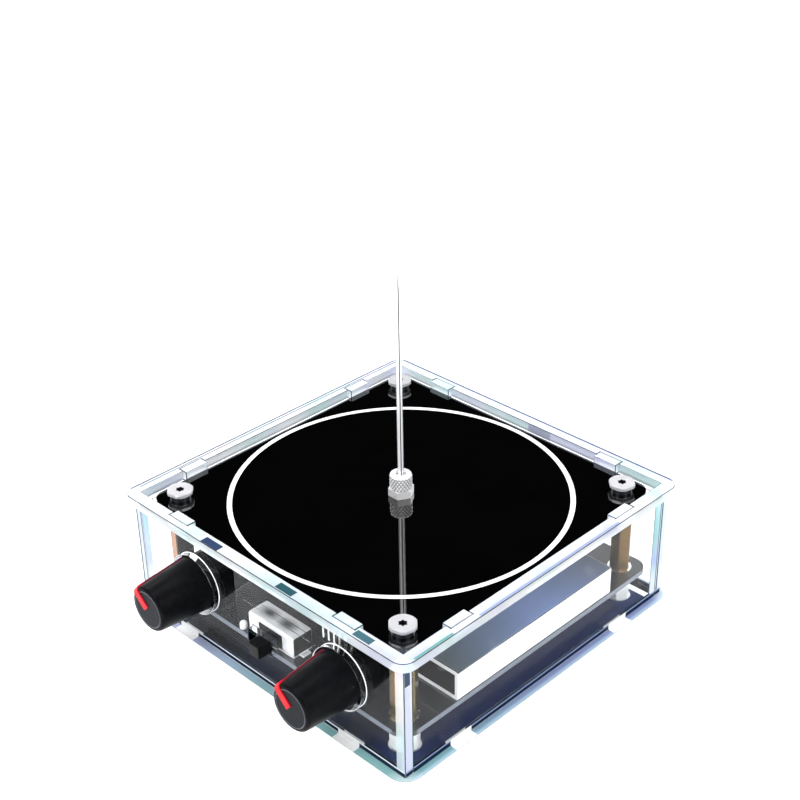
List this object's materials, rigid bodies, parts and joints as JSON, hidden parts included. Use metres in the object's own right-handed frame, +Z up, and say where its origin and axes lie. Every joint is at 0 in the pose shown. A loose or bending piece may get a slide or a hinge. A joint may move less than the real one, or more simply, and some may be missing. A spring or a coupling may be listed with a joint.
{
  "type": "desktop resonant transformer",
  "caption": "Musical tabletop resonant transformer: clear acrylic box with planar coil board, needle electrode, two knobs and a slide switch.",
  "frame": {"origin": "centre of the bottom plate's underside, on the needle's axis", "axes": "+Z up along the needle, -Y out of the wall with the knobs and the switch, +X out of the wall beside the heat sink"},
  "size_m": [0.115, 0.1291, 0.111],
  "materials": {
    "clear_acrylic": "clear laser-cut acrylic, polished",
    "board_black": "black gloss solder mask with a white printed ring",
    "board_dark": "dark gloss solder mask",
    "navy_sheet": "deep navy gloss film",
    "white_nylon": "translucent white nylon",
    "brass": "turned brass",
    "screw_steel": "satin plated steel",
    "copper_track": "copper track under black mask",
    "electrode_steel": "bright nickel, knurled",
    "needle_steel": "polished steel",
    "sink_aluminium": "plain bright aluminium",
    "transistor_epoxy": "black moulded epoxy with a tinned tab",
    "control_case": "black moulded phenolic",
    "control_zinc": "zinc",
    "knob_black": "satin black moulded plastic",
    "pointer_red": "bright red moulded plastic",
    "switch_chrome": "bright pressed steel",
    "switch_black": "black moulded plastic",
    "lamp_white": "diffused white lens",
    "socket_black": "black moulded plastic",
    "socket_pin": "nickel plated pin",
    "capacitor_sleeve": "shrunk sleeve with an aluminium end",
    "film_capacitor": "dipped film capacitor box",
    "chip_epoxy": "black moulded epoxy",
    "ferrite": "dark grey ferrite",
    "enamelled_copper": "enamelled copper wire",
    "tinned_pin": "tinned pins"
  },
  "bodies": {
    "case": {"bottom_plate": "clear_acrylic", "top_plate": "clear_acrylic", "front_wall": "clear_acrylic", "rear_wall": "clear_acrylic", "left_wall": "clear_acrylic", "right_wall": "clear_acrylic", "base_sheet": "navy_sheet", "lower_spacers": "white_nylon", "upper_standoffs": "brass", "bottom_screws": "screw_steel", "top_screws": "screw_steel", "driver_board": "board_dark", "coil_board": "board_black", "primary_winding": "copper_track", "secondary_winding": "copper_track", "electrode_base": "electrode_steel", "heat_sink_channel": "sink_aluminium", "power_transistors": "transistor_epoxy", "transistor_screws": "screw_steel", "transistor_nuts": "screw_steel", "switch_shell": "switch_chrome", "switch_base": "switch_black", "status_led": "lamp_white", "power_socket": "socket_black", "power_socket_pin": "socket_pin", "audio_socket": "socket_black", "filter_capacitors": "capacitor_sleeve", "film_capacitors": "film_capacitor", "driver_chips": "chip_epoxy", "voltage_regulator": "chip_epoxy", "choke_core": "ferrite", "choke_winding": "enamelled_copper", "coil_link_posts": "tinned_pin", "header_pins": "tinned_pin", "left_control": "control_case", "left_bushing": "control_zinc", "right_control": "control_case", "right_bushing": "control_zinc"},
    "left_dial": {"left_shaft": "control_zinc", "left_knob": "knob_black", "left_pointer": "pointer_red"},
    "right_dial": {"right_shaft": "control_zinc", "right_knob": "knob_black", "right_pointer": "pointer_red"},
    "power_slider": {"switch_slider": "switch_black"},
    "needle": {"discharge_needle": "needle_steel"},
    "collet": {"collet_cap": "electrode_steel"}
  },
  "joints": [
    {"name": "left_dial_turn", "type": "hinge", "parent": "case", "child": "left_dial", "pos_m": [-0.03, -0.06, 0.0216], "axis": [0, 1, 0], "range_deg": [-103, 197]},
    {"name": "right_dial_turn", "type": "hinge", "parent": "case", "child": "right_dial", "pos_m": [0.03, -0.06, 0.0216], "axis": [0, 1, 0], "range_deg": [-103, 197]},
    {"name": "power_slide", "type": "slide", "parent": "case", "child": "power_slider", "axis": [-1, 0, 0], "range_m": [0, 0.0032]},
    {"name": "needle_lift", "type": "slide", "parent": "case", "child": "needle", "axis": [0, 0, 1], "range_m": [0, 0.005]},
    {"name": "collet_turn", "type": "hinge", "parent": "case", "child": "collet", "pos_m": [0, 0, 0.045], "axis": [0, 0, 1], "range_deg": [0, 360]}
  ]
}
